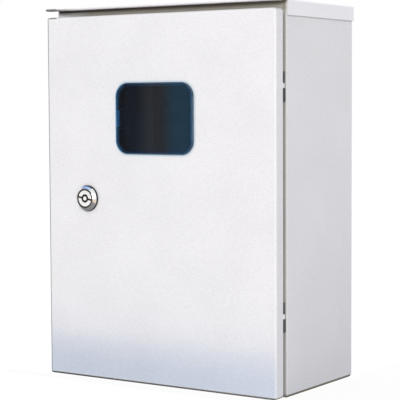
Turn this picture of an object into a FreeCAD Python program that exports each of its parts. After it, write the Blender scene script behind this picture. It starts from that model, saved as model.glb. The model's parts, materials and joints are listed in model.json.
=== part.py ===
import FreeCAD, Part
import math
import os
from FreeCAD import Vector

# Wall-mounted electric meter box of folded sheet steel, with a rain hood, a hinged pan door,
# a snap-in inspection window and a quarter-turn cam lock.
# Frame: X to the right as one faces the door, Y from the door to the wall, Z up.
# The origin lies under the middle of the whole box, at its lowest level. Sizes are in millimetres.

# Whole box
BOX_WIDTH = 290.0
BOX_HEIGHT = 400.0
BOX_DEPTH = 160.0
SHEET = 1.2

# Body
REAR_BEND = 8.0
EDGE_BEND = 1.5
FLANGE_WIDTH = 20.0
RAIN_LIP = 11.0
LIP_BEND = 1.0
WALL_HOLE_RADIUS = 4.0
WALL_HOLE_PITCH_X = 250.0
WALL_HOLE_PITCH_Z = 340.0
KNOCKOUT_RADIUS = 14.0
KNOCKOUT_PITCH = 70.0
KNOCKOUT_COUNT = 3
KNOCKOUT_DEPTH = 0.6

# Rain hood
SKIRT_HEIGHT = 16.0
SKIRT_GAP = 0.3
SKIRT_SETBACK = 0.8
HOOD_BEND = 2.0
HEM_DEPTH = 8.0

# Door
DOOR_DEPTH = 13.5
DOOR_GAP = 7.0
DOOR_BEND = 2.0
DOOR_CORNER = 4.0
DOOR_BOTTOM_GAP = 0.5
DOOR_TOP_GAP = 9.5
GASKET_WIDTH = 12.0
GASKET_GAP = 0.3

# Inspection window
WINDOW_WIDTH = 98.8
WINDOW_HEIGHT = 75.2
WINDOW_CORNER = 15.0
WINDOW_LEFT_OF_CENTRE = 1.6
WINDOW_BELOW_TOP = 109.2
WINDOW_PLATE = 2.2
WINDOW_EDGE = 0.8
WINDOW_LEDGE = 4.0
WINDOW_CLEARANCE = 0.3
WINDOW_WALL = 1.6
WINDOW_WALL_DEPTH = 8.0
WINDOW_SEAL = 0.6
WINDOW_SEAL_INSET = 0.8
SNAP_HEIGHT = 19.0
SNAP_SLOT = 1.8
SNAP_BARB = 1.5
SNAP_GAP = 0.3
SNAP_TAPER = 4.0

# Hinges
HINGE_HEIGHTS = {"lower": 82.0, "upper": 313.0}
HINGE_LENGTH = 30.0
KNUCKLE_RADIUS = 2.5
HINGE_PIN_RADIUS = 1.5
PIN_CLEARANCE = 0.05
HINGE_FLUSH = 0.1
SWING_GAP = 0.35
KNUCKLE_GAP = 0.5
LEAF = 1.0
BODY_LEAF_WIDTH = 12.0
DOOR_LEAF_WIDTH = 9.0
RING_HEIGHT = 4.8
RING_GAP = 0.3
RING_RISE = 1.0

# Lock
LOCK_FROM_EDGE = 54.0
LOCK_PROUD = 5.6
BEZEL_RADIUS = 14.2
FACE_RADIUS = 10.6
CORE_HEAD_RADIUS = 8.6
CORE_HEAD_DEPTH = 4.0
CORE_HEAD_RECESS = 0.4
CORE_RING_GAP = 1.3
CORE_SHAFT_RADIUS = 6.0
CORE_CLEARANCE = 0.05
CORE_END_GAP = 0.4
BARREL_RADIUS = 9.8
BARREL_FLATS = 17.6
BARREL_CLEARANCE = 0.2
KEY_GROOVE_OUTER = 4.6
KEY_GROOVE_INNER = 2.2
KEY_GROOVE_DEPTH = 3.5
KEY_SLIT = 2.0
KEY_SLIT_DEPTH = 2.0
KEY_TURN_DEGREES = 10.0
LOCK_NUT_FLATS = 25.0
LOCK_NUT_HEIGHT = 5.0
CAM_WIDTH = 14.0
CAM_THICKNESS = 2.5
CAM_OVERLAP = 10.0
CAM_FLANGE_GAP = 1.2
CAM_END_GAP = 0.2
CAM_SQUARE = 7.0
SQUARE_CLEARANCE = 0.05
SQUARE_END_GAP = 0.2
CAM_SCREW_RADIUS = 2.5
CAM_SCREW_LENGTH = 10.0
CAM_SCREW_HEAD_FLATS = 11.0
CAM_SCREW_HEAD_HEIGHT = 3.5
THREAD_END_GAP = 1.0

# Mounting plate
PLATE_WIDTH = 220.0
PLATE_HEIGHT = 310.0
PLATE_THICKNESS = 1.5
PLATE_BEND = 2.5
PLATE_STANDOFF = 10.0
PLATE_EDGE_TO_STUD = 15.0
METER_SLOT_LENGTH = 30.0
METER_SLOT_WIDTH = 5.5
METER_SLOT_PITCH_X = 100.0
METER_SLOT_PITCH_Z = 130.0

# Studs and nuts, all for one thread
STUD_RADIUS = 3.0
STUD_CLEARANCE = 0.1
PLATE_STUD_LENGTH = 22.0
EARTH_STUD_LENGTH = 18.0
NUT_FLATS = 10.0
NUT_HEIGHT = 5.0
EARTH_FROM_SIDE = 33.0
EARTH_FROM_BACK = 60.0

# Levels worked out from the driving dimensions
HALF_WIDTH = BOX_WIDTH / 2
LOCK_FACE = -(BOX_DEPTH + LOCK_PROUD) / 2
DOOR_FRONT = LOCK_FACE + LOCK_PROUD
DOOR_INSIDE = DOOR_FRONT + SHEET
DOOR_REAR = DOOR_FRONT + DOOR_DEPTH
BODY_FRONT = DOOR_REAR + DOOR_GAP
FLANGE_REAR = BODY_FRONT + SHEET
BACK = DOOR_FRONT + BOX_DEPTH
BACK_INSIDE = BACK - SHEET
BODY_TOP = BOX_HEIGHT - SHEET
DOOR_BOTTOM = DOOR_BOTTOM_GAP
DOOR_TOP = BOX_HEIGHT - DOOR_TOP_GAP
DOOR_MIDDLE = (DOOR_BOTTOM + DOOR_TOP) / 2
BODY_MIDDLE = BODY_TOP / 2
LIP_FRONT = BODY_FRONT - RAIN_LIP
OPENING_WIDTH = BOX_WIDTH - 2 * FLANGE_WIDTH
OPENING_HEIGHT = BODY_TOP - 2 * FLANGE_WIDTH
WINDOW_X = -WINDOW_LEFT_OF_CENTRE
WINDOW_Z = DOOR_TOP - WINDOW_BELOW_TOP
WINDOW_BACK = DOOR_FRONT - WINDOW_SEAL
CUTOUT_WIDTH = WINDOW_WIDTH - 2 * WINDOW_LEDGE
CUTOUT_HEIGHT = WINDOW_HEIGHT - 2 * WINDOW_LEDGE
CUTOUT_CORNER = WINDOW_CORNER - WINDOW_LEDGE
LOCK_X = LOCK_FROM_EDGE - HALF_WIDTH
LOCK_Z = DOOR_MIDDLE
CAM_FRONT = FLANGE_REAR + CAM_FLANGE_GAP
CAM_REAR = CAM_FRONT + CAM_THICKNESS
BARREL_END = CAM_FRONT - CAM_END_GAP
CAM_LENGTH = LOCK_FROM_EDGE - FLANGE_WIDTH + CAM_OVERLAP
PLATE_REAR = BACK_INSIDE - PLATE_STANDOFF
PLATE_FRONT = PLATE_REAR - PLATE_THICKNESS

# The hinge axis. Its distance from the body front lets the rear corner of the door's return
# swing past the body front with SWING_GAP to spare.
PIVOT_INSET = KNUCKLE_RADIUS + HINGE_FLUSH
PIVOT_AHEAD = (PIVOT_INSET ** 2 + DOOR_GAP ** 2 - SWING_GAP ** 2) / (2 * (DOOR_GAP - SWING_GAP))
PIVOT_X = HALF_WIDTH - PIVOT_INSET
PIVOT_Y = BODY_FRONT - PIVOT_AHEAD
KNUCKLE_REACH = KNUCKLE_RADIUS + KNUCKLE_GAP

X_AXIS = Vector(1, 0, 0)
Y_AXIS = Vector(0, 1, 0)
Z_AXIS = Vector(0, 0, 1)
PAST = 1.0


def slab(x, y, z):
    """Box between pairs of limits along X, Y and Z."""
    corner = Vector(x[0], y[0], z[0])
    return Part.makeBox(x[1] - x[0], y[1] - y[0], z[1] - z[0], corner)


def edges_along(edges, axis):
    """Those of some edges that run straight along an axis."""
    straight = [e for e in edges if isinstance(e.Curve, Part.Line)]
    return [e for e in straight if abs(e.Curve.Direction.dot(axis)) > 0.999]


def edges_at(solid, axis, level):
    """Edges of a solid that lie in the plane across an axis at a level."""
    return [e for e in solid.Edges if all(abs(v.Point.dot(axis) - level) < 1e-6 for v in e.Vertexes)]


def rounded_slab(centre, size, corner, y):
    """Upright plate with rounded corners: centre and size in X and Z, limits in Y."""
    x_limits = (centre[0] - size[0] / 2, centre[0] + size[0] / 2)
    z_limits = (centre[1] - size[1] / 2, centre[1] + size[1] / 2)
    plate = slab(x_limits, y, z_limits)
    return plate.makeFillet(corner, edges_along(plate.Edges, Y_AXIS))


def rounded_frame(centre, size, corner, wall, y):
    """Frame with rounded corners; size and corner are its inner ones, wall goes outwards."""
    outer_size = (size[0] + 2 * wall, size[1] + 2 * wall)
    outer = rounded_slab(centre, outer_size, corner + wall, y)
    inner = rounded_slab(centre, size, corner, (y[0] - PAST, y[1] + PAST))
    return outer.cut(inner)


def tube(radius, bore, start, axis, length):
    """Round bar with a hole along it."""
    bar = Part.makeCylinder(radius, length, start, axis)
    hole = Part.makeCylinder(bore, length + 2 * PAST, start - axis * PAST, axis)
    return bar.cut(hole)


def hexagon(flats, start, axis, length):
    """Six-sided bar along Y or Z, measured across its flats."""
    circle_radius = flats / math.sqrt(3)
    across = axis.cross(X_AXIS)
    turns = [math.radians(60 * i) for i in range(7)]
    corners = [start + (X_AXIS * math.cos(a) + across * math.sin(a)) * circle_radius for a in turns]
    return Part.Face(Part.makePolygon(corners)).extrude(axis * length)


def nut(flats, bore, start, axis, height):
    """Hexagon nut."""
    hole = Part.makeCylinder(bore, height + 2 * PAST, start - axis * PAST, axis)
    return hexagon(flats, start, axis, height).cut(hole)


def bends_along(box, axis, front, rear):
    """Box with its edges along an axis rounded, those at its front by one radius, at its rear by another."""
    at_front = edges_along(edges_at(box, Y_AXIS, box.BoundBox.YMin), axis)
    bent = box.makeFillet(front, at_front)
    at_rear = edges_along(edges_at(bent, Y_AXIS, box.BoundBox.YMax), axis)
    return bent.makeFillet(rear, at_rear) if rear else bent


def body_outline(inset):
    """Outside of the body, moved inwards by an inset: wide bends at the rear, which meet in mitres."""
    half = HALF_WIDTH - inset
    box = slab((-half, half), (BODY_FRONT + inset, BACK - inset), (inset, BODY_TOP - inset))
    small = EDGE_BEND - inset
    wrapped = bends_along(box, X_AXIS, small, REAR_BEND - inset)
    upright = bends_along(box, Z_AXIS, small, small)
    cornered = box.makeFillet(small, edges_along(box.Edges, Y_AXIS))
    return wrapped.common(upright).common(cornered)


def wall_holes():
    """Four fixing holes through the back."""
    holes = []
    for x in (-WALL_HOLE_PITCH_X / 2, WALL_HOLE_PITCH_X / 2):
        for z in (BODY_MIDDLE - WALL_HOLE_PITCH_Z / 2, BODY_MIDDLE + WALL_HOLE_PITCH_Z / 2):
            start = Vector(x, BACK_INSIDE - PAST, z)
            holes.append(Part.makeCylinder(WALL_HOLE_RADIUS, SHEET + 2 * PAST, start, Y_AXIS))
    return holes


def knockouts():
    """Discs pressed up from the underside, which are knocked out where a cable enters."""
    discs = []
    for i in range(KNOCKOUT_COUNT):
        x = (i - (KNOCKOUT_COUNT - 1) / 2) * KNOCKOUT_PITCH
        start = Vector(x, (BODY_FRONT + BACK) / 2, -PAST)
        discs.append(Part.makeCylinder(KNOCKOUT_RADIUS, PAST + KNOCKOUT_DEPTH, start, Z_AXIS))
    return discs


def doorway(margin, y):
    """Block as wide and high as the doorway and a margin all round."""
    half_width = OPENING_WIDTH / 2 + margin
    half_height = OPENING_HEIGHT / 2 + margin
    return slab((-half_width, half_width), y, (BODY_MIDDLE - half_height, BODY_MIDDLE + half_height))


def near_doorway(edges):
    """Those of some edges that lie within half the flange's width of the doorway."""
    reach = (OPENING_WIDTH + FLANGE_WIDTH) / 2
    return [e for e in edges if max(abs(v.Point.x) for v in e.Vertexes) < reach]


def body_shell():
    """Folded and welded tray, with a front flange whose edge turns forward as a rain lip."""
    shell = body_outline(0).cut(body_outline(SHEET))
    lip = doorway(SHEET, (LIP_FRONT, FLANGE_REAR))
    folded = shell.fuse(lip).cut(doorway(0, (LIP_FRONT - PAST, FLANGE_REAR + PAST))).removeSplitter()
    folded = folded.makeFillet(LIP_BEND, near_doorway(edges_at(folded, Y_AXIS, BODY_FRONT)))
    folded = folded.makeFillet(LIP_BEND + SHEET, near_doorway(edges_at(folded, Y_AXIS, FLANGE_REAR)))
    return folded.cut(wall_holes() + knockouts())


def hood_section(half_width, top, corner, y):
    """Inverted trough as deep as the skirts, rounded along its two upper edges."""
    block = slab((-half_width, half_width), y, (BOX_HEIGHT - SKIRT_HEIGHT, top))
    upper = edges_along(edges_at(block, Z_AXIS, top), Y_AXIS)
    return block.makeFillet(corner, upper)


def rain_hood():
    """Roof sheet with a hemmed front edge, and skirts along the two sides of the body."""
    half = HALF_WIDTH + SKIRT_GAP + SHEET
    rear_part = (BODY_FRONT + SKIRT_SETBACK, BACK)
    outer = hood_section(half, BOX_HEIGHT, HOOD_BEND, rear_part)
    inner = hood_section(half - SHEET, BODY_TOP, HOOD_BEND - SHEET, (rear_part[0] - PAST, BACK + PAST))
    skirts = outer.cut(inner)
    roof = slab((-half, half), (DOOR_FRONT + SHEET, rear_part[0]), (BODY_TOP, BOX_HEIGHT))
    hem = slab((-half, half), (DOOR_FRONT + SHEET, DOOR_FRONT + HEM_DEPTH), (BODY_TOP - SHEET, BODY_TOP))
    nose = Part.makeCylinder(SHEET, 2 * half, Vector(-half, DOOR_FRONT + SHEET, BODY_TOP), X_AXIS)
    return skirts.fuse([roof, hem, nose]).removeSplitter()


def door_outline(inset, rear):
    """Outside of the door, moved inwards by an inset, with bends that meet in mitres."""
    box = slab((inset - HALF_WIDTH, HALF_WIDTH - inset), (DOOR_FRONT + inset, rear),
               (DOOR_BOTTOM + inset, DOOR_TOP - inset))
    bend = DOOR_BEND - inset
    level = bends_along(box, X_AXIS, bend, 0)
    upright = bends_along(box, Z_AXIS, bend, 0)
    cornered = box.makeFillet(DOOR_CORNER - inset, edges_along(box.Edges, Y_AXIS))
    return level.common(upright).common(cornered)


def double_d(radius, flats, y):
    """Round bar on the lock axis with two upright flats."""
    bar = Part.makeCylinder(radius, y[1] - y[0], Vector(LOCK_X, y[0], LOCK_Z), Y_AXIS)
    band = slab((LOCK_X - flats / 2, LOCK_X + flats / 2), y, (LOCK_Z - radius, LOCK_Z + radius))
    return bar.common(band)


def hinge_notch(height):
    """Relief in the edge of the door's return, round the knuckles of one hinge."""
    reach = HINGE_LENGTH / 2 + KNUCKLE_GAP
    return slab((PIVOT_X, HALF_WIDTH + PAST), (PIVOT_Y - KNUCKLE_REACH, DOOR_REAR + PAST),
                (height - reach, height + reach))


def door_panel():
    """Pan door with holes for the window and the lock, and notches for the hinges."""
    through = (DOOR_FRONT - PAST, DOOR_INSIDE + PAST)
    window_hole = rounded_slab((WINDOW_X, WINDOW_Z), (CUTOUT_WIDTH, CUTOUT_HEIGHT), CUTOUT_CORNER, through)
    lock_hole = double_d(BARREL_RADIUS + BARREL_CLEARANCE, BARREL_FLATS + 2 * BARREL_CLEARANCE, through)
    notches = [hinge_notch(height) for height in HINGE_HEIGHTS.values()]
    shell = door_outline(0, DOOR_REAR).cut(door_outline(SHEET, DOOR_REAR + PAST))
    return shell.cut([window_hole, lock_hole] + notches)


def door_gasket():
    """Foam strip round the inside of the door, which faces the edge of the rain lip."""
    outward = (GASKET_WIDTH + SHEET) / 2
    depth = (DOOR_INSIDE, LIP_FRONT - GASKET_GAP)
    return doorway(outward, depth).cut(doorway(outward - GASKET_WIDTH, (depth[0] - PAST, depth[1] + PAST)))


def snap_barb(side, wall_face):
    """Wedge on a snap arm that catches behind the door sheet; side is -1 or 1."""
    catch = DOOR_INSIDE + SNAP_GAP
    reach = WINDOW_CLEARANCE + SNAP_BARB
    half = SNAP_HEIGHT / 2
    corners = [(wall_face, catch), (wall_face + side * reach, catch), (wall_face, catch + SNAP_TAPER),
               (wall_face - side * WINDOW_WALL / 2, catch + SNAP_TAPER),
               (wall_face - side * WINDOW_WALL / 2, catch), (wall_face, catch)]
    points = [Vector(x, y, WINDOW_Z - half) for x, y in corners]
    return Part.Face(Part.makePolygon(points)).extrude(Z_AXIS * SNAP_HEIGHT)


def snap_slots(side, wall_face):
    """Two slots that free a snap arm from the rest of the wall."""
    slots = []
    for up in (-1, 1):
        middle = WINDOW_Z + up * (SNAP_HEIGHT + SNAP_SLOT) / 2
        x_limits = sorted((wall_face + side * PAST, wall_face - side * (WINDOW_WALL + PAST)))
        slots.append(slab(x_limits, (WINDOW_BACK, WINDOW_BACK + WINDOW_WALL_DEPTH + PAST),
                          (middle - SNAP_SLOT / 2, middle + SNAP_SLOT / 2)))
    return slots


def inspection_window():
    """Clear moulding: a plate on the door front, and a wall behind it with two snap arms."""
    centre = (WINDOW_X, WINDOW_Z)
    front = WINDOW_BACK - WINDOW_PLATE
    plate = rounded_slab(centre, (WINDOW_WIDTH, WINDOW_HEIGHT), WINDOW_CORNER, (front, WINDOW_BACK))
    plate = plate.makeChamfer(WINDOW_EDGE, edges_at(plate, Y_AXIS, front))
    inset = WINDOW_CLEARANCE + WINDOW_WALL
    inner_size = (CUTOUT_WIDTH - 2 * inset, CUTOUT_HEIGHT - 2 * inset)
    wall = rounded_frame(centre, inner_size, CUTOUT_CORNER - inset, WINDOW_WALL,
                         (WINDOW_BACK, WINDOW_BACK + WINDOW_WALL_DEPTH))
    barbs = []
    for side in (-1, 1):
        wall_face = WINDOW_X + side * (CUTOUT_WIDTH / 2 - WINDOW_CLEARANCE)
        wall = wall.cut(snap_slots(side, wall_face))
        barbs.append(snap_barb(side, wall_face))
    return plate.fuse([wall] + barbs).removeSplitter()


def window_seal():
    """Thin seal under the rim of the window plate."""
    return rounded_frame((WINDOW_X, WINDOW_Z), (CUTOUT_WIDTH, CUTOUT_HEIGHT), CUTOUT_CORNER,
                         WINDOW_LEDGE - WINDOW_SEAL_INSET, (WINDOW_BACK, DOOR_FRONT))


def hinge_levels(height):
    """Lower end, ring seat, ring top, upper knuckle foot and upper end of one hinge."""
    low = height - HINGE_LENGTH / 2
    seat = height + RING_RISE - RING_HEIGHT / 2
    ring_top = seat + RING_HEIGHT
    return low, seat, ring_top, ring_top + RING_GAP, height + HINGE_LENGTH / 2


def hinge_body_leaf(height):
    """Leaf on the body's flange, with the lower knuckle on a foot that stands it off."""
    low, seat, _, _, high = hinge_levels(height)
    right = PIVOT_X - KNUCKLE_REACH
    plate = slab((right - BODY_LEAF_WIDTH, right), (BODY_FRONT - LEAF, BODY_FRONT), (low, high))
    knuckle = Part.makeCylinder(KNUCKLE_RADIUS, seat - low, Vector(PIVOT_X, PIVOT_Y, low), Z_AXIS)
    foot = slab((PIVOT_X - KNUCKLE_RADIUS, PIVOT_X + HINGE_PIN_RADIUS), (PIVOT_Y, BODY_FRONT), (low, seat))
    bridge = slab((right, PIVOT_X), (BODY_FRONT - LEAF, BODY_FRONT), (low, seat))
    hole = Part.makeCylinder(HINGE_PIN_RADIUS + PIN_CLEARANCE, seat - low + 2 * PAST,
                             Vector(PIVOT_X, PIVOT_Y, low - PAST), Z_AXIS)
    return plate.fuse([knuckle, foot, bridge]).removeSplitter().cut(hole)


def hinge_door_leaf(height):
    """Leaf inside the door's return, with the upper knuckle that drops over the pin."""
    low, _, _, foot, high = hinge_levels(height)
    right = HALF_WIDTH - SHEET
    left = right - LEAF
    near = PIVOT_Y - KNUCKLE_REACH
    plate = slab((left, right), (near - DOOR_LEAF_WIDTH, near), (low, high))
    neck = slab((left, right), (near, PIVOT_Y), (foot, high))
    knuckle = Part.makeCylinder(KNUCKLE_RADIUS, high - foot, Vector(PIVOT_X, PIVOT_Y, foot), Z_AXIS)
    hole = Part.makeCylinder(HINGE_PIN_RADIUS + PIN_CLEARANCE, high - foot + 2 * PAST,
                             Vector(PIVOT_X, PIVOT_Y, foot - PAST), Z_AXIS)
    return plate.fuse([neck, knuckle]).removeSplitter().cut(hole)


def hinge_pin(height):
    """Pin held in the lower knuckle and free in the upper one."""
    low, _, _, _, high = hinge_levels(height)
    return Part.makeCylinder(HINGE_PIN_RADIUS, high - low, Vector(PIVOT_X, PIVOT_Y, low), Z_AXIS)


def hinge_ring(height):
    """Bearing ring that sits on the lower knuckle."""
    _, seat, _, _, _ = hinge_levels(height)
    return tube(KNUCKLE_RADIUS, HINGE_PIN_RADIUS + PIN_CLEARANCE, Vector(PIVOT_X, PIVOT_Y, seat),
                Z_AXIS, RING_HEIGHT)


def lock_rod(radius, y):
    """Round bar on the lock axis between two levels."""
    return Part.makeCylinder(radius, y[1] - y[0], Vector(LOCK_X, y[0], LOCK_Z), Y_AXIS)


def lock_housing():
    """Bezel that narrows to the lock face and flatted barrel, in one piece bored for the core."""
    face_centre = Vector(LOCK_X, LOCK_FACE, LOCK_Z)
    bezel = Part.makeCone(FACE_RADIUS, BEZEL_RADIUS, LOCK_PROUD, face_centre, Y_AXIS)
    recess_depth = LOCK_FACE + CORE_HEAD_RECESS + CORE_HEAD_DEPTH + CORE_END_GAP
    barrel = double_d(BARREL_RADIUS, BARREL_FLATS, (DOOR_FRONT, BARREL_END))
    recess = lock_rod(CORE_HEAD_RADIUS + CORE_RING_GAP, (LOCK_FACE - PAST, recess_depth))
    bore = lock_rod(CORE_SHAFT_RADIUS + CORE_CLEARANCE, (recess_depth - PAST, BARREL_END + PAST))
    return bezel.fuse(barrel).removeSplitter().cut([recess, bore])


def lock_nut():
    """Thin nut that clamps the lock to the door from inside."""
    start = Vector(LOCK_X, DOOR_INSIDE, LOCK_Z)
    return nut(LOCK_NUT_FLATS, BARREL_RADIUS + CORE_CLEARANCE, start, Y_AXIS, LOCK_NUT_HEIGHT)


def lock_core():
    """Turning core with a ring-shaped key groove, two key slits and a square end for the cam."""
    head_front = LOCK_FACE + CORE_HEAD_RECESS
    head_rear = head_front + CORE_HEAD_DEPTH
    head = lock_rod(CORE_HEAD_RADIUS, (head_front, head_rear))
    shaft = lock_rod(CORE_SHAFT_RADIUS, (head_rear, BARREL_END))
    half = CAM_SQUARE / 2
    square_end = CAM_REAR - SQUARE_END_GAP
    square = slab((LOCK_X - half, LOCK_X + half), (BARREL_END, square_end), (LOCK_Z - half, LOCK_Z + half))
    groove_limits = (head_front - PAST, head_front + KEY_GROOVE_DEPTH)
    groove = lock_rod(KEY_GROOVE_OUTER, groove_limits).cut(lock_rod(KEY_GROOVE_INNER, groove_limits))
    slit = slab((LOCK_X - CORE_HEAD_RADIUS - PAST, LOCK_X + CORE_HEAD_RADIUS + PAST),
                (head_front - PAST, head_front + KEY_SLIT_DEPTH),
                (LOCK_Z - KEY_SLIT / 2, LOCK_Z + KEY_SLIT / 2))
    slit.rotate(Vector(LOCK_X, 0, LOCK_Z), Y_AXIS, KEY_TURN_DEGREES)
    slit = slit.cut(lock_rod(KEY_GROOVE_INNER, groove_limits))
    thread_end = CAM_REAR - CAM_SCREW_LENGTH - THREAD_END_GAP
    thread = lock_rod(CAM_SCREW_RADIUS + CORE_CLEARANCE, (thread_end, CAM_REAR))
    return head.fuse([shaft, square]).removeSplitter().cut([groove, slit, thread])


def lock_cam():
    """Flat latch bar, hanging down at rest, with round ends and a square hole."""
    depth = (CAM_FRONT, CAM_REAR)
    half = CAM_WIDTH / 2
    tip = LOCK_Z - CAM_LENGTH + half
    bar = slab((LOCK_X - half, LOCK_X + half), depth, (tip, LOCK_Z))
    tip_end = Part.makeCylinder(half, CAM_THICKNESS, Vector(LOCK_X, CAM_FRONT, tip), Y_AXIS)
    hole_half = CAM_SQUARE / 2 + SQUARE_CLEARANCE
    hole = slab((LOCK_X - hole_half, LOCK_X + hole_half), (CAM_FRONT - PAST, CAM_REAR + PAST),
                (LOCK_Z - hole_half, LOCK_Z + hole_half))
    return bar.fuse([tip_end, lock_rod(half, depth)]).removeSplitter().cut(hole)


def cam_screw():
    """Hexagon screw that holds the cam on the core; its head reaches past the square hole."""
    head = hexagon(CAM_SCREW_HEAD_FLATS, Vector(LOCK_X, CAM_REAR, LOCK_Z), Y_AXIS, CAM_SCREW_HEAD_HEIGHT)
    return head.fuse(lock_rod(CAM_SCREW_RADIUS, (CAM_REAR - CAM_SCREW_LENGTH, CAM_REAR)))


def plate_fixings():
    """Places of the four mounting-plate studs, in X and Z."""
    x = PLATE_WIDTH / 2 - PLATE_EDGE_TO_STUD
    z = PLATE_HEIGHT / 2 - PLATE_EDGE_TO_STUD
    return [(sx * x, BODY_MIDDLE + sz * z) for sx in (-1, 1) for sz in (-1, 1)]


def slot_bar(x, z, y):
    """Upright round-ended bar for cutting a meter slot."""
    radius = METER_SLOT_WIDTH / 2
    ends = [z - METER_SLOT_LENGTH / 2 + radius, z + METER_SLOT_LENGTH / 2 - radius]
    bar = slab((x - radius, x + radius), y, ends)
    rounds = [Part.makeCylinder(radius, y[1] - y[0], Vector(x, y[0], end), Y_AXIS) for end in ends]
    return bar.fuse(rounds).removeSplitter()


def plate_outline(inset, rear):
    """Outside of the mounting plate and its two folded edges, moved inwards by an inset."""
    half_width = PLATE_WIDTH / 2 - inset
    half_height = PLATE_HEIGHT / 2
    box = slab((-half_width, half_width), (PLATE_FRONT + inset, rear),
               (BODY_MIDDLE - half_height, BODY_MIDDLE + half_height))
    return bends_along(box, Z_AXIS, PLATE_BEND - inset, 0)


def mounting_plate():
    """Plate that carries the meter. Its folded edges stand on the back; three slots take the meter."""
    plate = plate_outline(0, BACK_INSIDE).cut(plate_outline(PLATE_THICKNESS, BACK_INSIDE))
    through = (PLATE_FRONT - PAST, PLATE_REAR + PAST)
    bore = STUD_RADIUS + STUD_CLEARANCE
    holes = [Part.makeCylinder(bore, PLATE_THICKNESS + 2 * PAST, Vector(x, through[0], z), Y_AXIS)
             for x, z in plate_fixings()]
    high = BODY_MIDDLE + METER_SLOT_PITCH_Z / 2
    low = BODY_MIDDLE - METER_SLOT_PITCH_Z / 2
    places = [(0, high), (-METER_SLOT_PITCH_X / 2, low), (METER_SLOT_PITCH_X / 2, low)]
    slots = [slot_bar(x, z, through) for x, z in places]
    return plate.cut(holes + slots)


def weld_stud(start, axis, length):
    """Stud that is welded to a sheet by its end."""
    return Part.makeCylinder(STUD_RADIUS, length, start, axis)


def stud_nut(start, axis):
    """Nut for such a stud."""
    return nut(NUT_FLATS, STUD_RADIUS + STUD_CLEARANCE, start, axis, NUT_HEIGHT)


def body_pieces():
    """Everything that stays on the wall."""
    earth = Vector(EARTH_FROM_SIDE - HALF_WIDTH, BACK - EARTH_FROM_BACK, SHEET)
    studs = [weld_stud(Vector(x, BACK_INSIDE, z), -Y_AXIS, PLATE_STUD_LENGTH) for x, z in plate_fixings()]
    studs.append(weld_stud(earth, Z_AXIS, EARTH_STUD_LENGTH))
    nuts = [stud_nut(Vector(x, PLATE_FRONT, z), -Y_AXIS) for x, z in plate_fixings()]
    nuts.append(stud_nut(earth, Z_AXIS))
    pieces = {"body_shell": body_shell(), "rain_hood": rain_hood(), "mounting_plate": mounting_plate()}
    pieces["body_studs"] = Part.makeCompound(studs)
    pieces["body_nuts"] = Part.makeCompound(nuts)
    for name, height in HINGE_HEIGHTS.items():
        pieces[name + "_hinge_body_leaf"] = hinge_body_leaf(height)
        pieces[name + "_hinge_pin"] = hinge_pin(height)
        pieces[name + "_hinge_ring"] = hinge_ring(height)
    return pieces


def door_pieces():
    """Everything that swings with the door."""
    pieces = {"door_panel": door_panel(), "door_gasket": door_gasket()}
    pieces["inspection_window"] = inspection_window()
    pieces["window_seal"] = window_seal()
    pieces["lock_housing"] = lock_housing()
    pieces["lock_nut"] = lock_nut()
    for name, height in HINGE_HEIGHTS.items():
        pieces[name + "_hinge_door_leaf"] = hinge_door_leaf(height)
    return pieces


def lock_rotor_pieces():
    """Everything that turns with the key."""
    return {"lock_core": lock_core(), "lock_cam": lock_cam(), "cam_screw": cam_screw()}


def main():
    """Write each piece to its own file and print its size."""
    os.makedirs("parts", exist_ok=True)
    for name, shape in {**body_pieces(), **door_pieces(), **lock_rotor_pieces()}.items():
        shape.exportStep("parts/" + name + ".step")
        box = shape.BoundBox
        print(name, len(shape.Solids), shape.isValid(), round(shape.Volume, 1),
              [round(v, 2) for v in (box.XMin, box.YMin, box.ZMin, box.XMax, box.YMax, box.ZMax)])


main()
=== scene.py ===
# %% [markdown]
# # A wall-mounted meter box
# The box is folded from sheet steel and powder coated in light grey. A pan door covers its front,
# with a tinted inspection window and a chrome cam lock, and a rain hood lies over the top.
# The solids come from the CAD frame and stay where they are. This file gives them their finishes,
# makes the threaded and soft pieces that solids show only roughly, and sets up camera and light.

# %% Load the frame
import json
import math

import bmesh
import bpy
import numpy as np
from mathutils import Matrix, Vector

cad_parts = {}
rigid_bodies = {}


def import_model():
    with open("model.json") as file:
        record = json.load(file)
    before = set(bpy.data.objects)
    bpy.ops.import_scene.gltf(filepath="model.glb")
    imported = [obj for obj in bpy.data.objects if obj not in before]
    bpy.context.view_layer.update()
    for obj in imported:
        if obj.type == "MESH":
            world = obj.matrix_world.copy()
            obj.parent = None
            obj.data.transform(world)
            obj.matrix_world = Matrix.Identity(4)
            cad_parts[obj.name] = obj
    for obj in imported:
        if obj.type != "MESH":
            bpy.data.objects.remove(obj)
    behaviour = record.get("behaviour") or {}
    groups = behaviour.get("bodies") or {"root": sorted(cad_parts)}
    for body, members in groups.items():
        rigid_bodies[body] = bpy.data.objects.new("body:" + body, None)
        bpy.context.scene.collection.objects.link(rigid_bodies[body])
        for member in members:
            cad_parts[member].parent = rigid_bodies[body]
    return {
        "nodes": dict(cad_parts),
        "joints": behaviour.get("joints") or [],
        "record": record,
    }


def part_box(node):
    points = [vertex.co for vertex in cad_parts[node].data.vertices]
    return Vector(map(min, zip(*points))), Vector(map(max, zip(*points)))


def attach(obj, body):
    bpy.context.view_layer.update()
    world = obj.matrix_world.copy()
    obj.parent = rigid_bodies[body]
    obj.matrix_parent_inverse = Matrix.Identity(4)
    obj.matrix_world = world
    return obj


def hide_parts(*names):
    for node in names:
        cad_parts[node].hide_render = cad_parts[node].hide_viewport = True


for leftover in list(bpy.data.objects):
    bpy.data.objects.remove(leftover)
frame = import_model()
bpy.context.view_layer.update()
nodes = frame["nodes"]

# %% [markdown]
# Every size below is in metres, as the frame is. The places that new pieces need could be typed in,
# but they are read from the CAD nodes: the front of the door, the axis of the lock and the ends of
# its barrel. If the part changes, the scene follows.

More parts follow.
